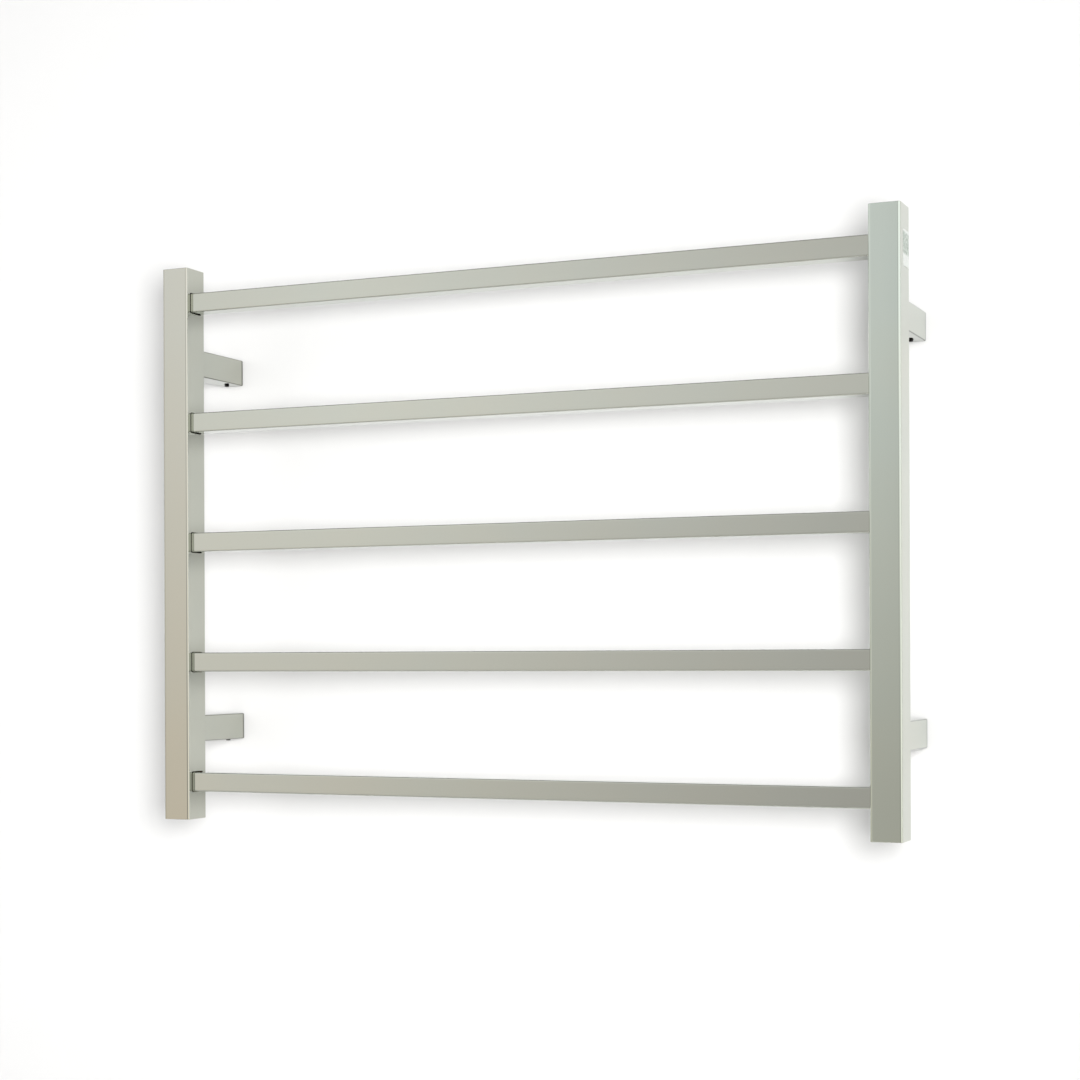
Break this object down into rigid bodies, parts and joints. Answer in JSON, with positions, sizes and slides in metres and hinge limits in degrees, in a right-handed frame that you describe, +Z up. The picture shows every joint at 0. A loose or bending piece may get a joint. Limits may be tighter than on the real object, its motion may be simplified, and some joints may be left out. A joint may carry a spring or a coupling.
{
  "type": "towel warmer rack",
  "caption": "Wall-mounted heated towel ladder of polished square steel tube, with horizontal rungs between two posts on hollow stand-off arms locked by grub screws.",
  "frame": {"origin": "on the wall plane, midway between the posts and at mid-height of the posts", "axes": "+X along the rungs towards the right-hand post seen from the room, +Y into the wall, +Z up"},
  "size_m": [0.7523, 0.112, 0.552],
  "materials": {
    "polished_steel": "mirror-polished stainless steel tube, faintly warm, with fine polishing lines",
    "plain_steel": "bare machined stainless steel",
    "screw_steel": "black-oxide screw steel",
    "tinned_brass": "tinned brass terminal",
    "black_rubber": "matt black rubber",
    "red_silicone": "satin red-brown silicone rubber",
    "label_film": "satin silver-grey printed film, blank"
  },
  "bodies": {
    "wall_bosses": {"wall_boss_upper_left": "plain_steel", "wall_boss_upper_right": "plain_steel", "wall_boss_lower_left": "plain_steel", "wall_boss_lower_right": "plain_steel"},
    "ladder": {"post_left": "polished_steel", "post_left_cap_top": "polished_steel", "post_left_cap_bottom": "polished_steel", "post_right": "polished_steel", "post_right_cap_top": "polished_steel", "post_right_cap_bottom": "polished_steel", "rung_1": "polished_steel", "rung_2": "polished_steel", "rung_3": "polished_steel", "rung_4": "polished_steel", "rung_5": "polished_steel", "arm_upper_left": "polished_steel", "grub_nut_upper_left": "plain_steel", "post_insert_upper_left": "plain_steel", "arm_screw_upper_left": "screw_steel", "arm_upper_right": "polished_steel", "grub_nut_upper_right": "plain_steel", "post_insert_upper_right": "plain_steel", "arm_screw_upper_right": "screw_steel", "arm_lower_left": "polished_steel", "grub_nut_lower_left": "plain_steel", "post_insert_lower_left": "plain_steel", "arm_screw_lower_left": "screw_steel", "arm_lower_right": "polished_steel", "grub_nut_lower_right": "plain_steel", "post_insert_lower_right": "plain_steel", "arm_screw_lower_right": "screw_steel", "earth_tag": "tinned_brass", "cable_grommet": "black_rubber", "heating_cable": "red_silicone", "cable_end_seal": "red_silicone", "thermal_cutout": "black_rubber", "cold_joint": "red_silicone", "rating_label": "label_film"},
    "grub_screw_upper_left": {"grub_screw_upper_left": "screw_steel"},
    "grub_screw_upper_right": {"grub_screw_upper_right": "screw_steel"},
    "grub_screw_lower_left": {"grub_screw_lower_left": "screw_steel"},
    "grub_screw_lower_right": {"grub_screw_lower_right": "screw_steel"}
  },
  "joints": [
    {"name": "ladder_pull_off", "type": "slide", "parent": "wall_bosses", "child": "ladder", "axis": [0, -1, 0], "range_m": [0, 0.022]},
    {"name": "grub_screw_upper_left_travel", "type": "slide", "parent": "ladder", "child": "grub_screw_upper_left", "axis": [0, 0, -1], "range_m": [0, 0.003]},
    {"name": "grub_screw_upper_right_travel", "type": "slide", "parent": "ladder", "child": "grub_screw_upper_right", "axis": [0, 0, -1], "range_m": [0, 0.003]},
    {"name": "grub_screw_lower_left_travel", "type": "slide", "parent": "ladder", "child": "grub_screw_lower_left", "axis": [0, 0, -1], "range_m": [0, 0.003]},
    {"name": "grub_screw_lower_right_travel", "type": "slide", "parent": "ladder", "child": "grub_screw_lower_right", "axis": [0, 0, -1], "range_m": [0, 0.003]}
  ]
}
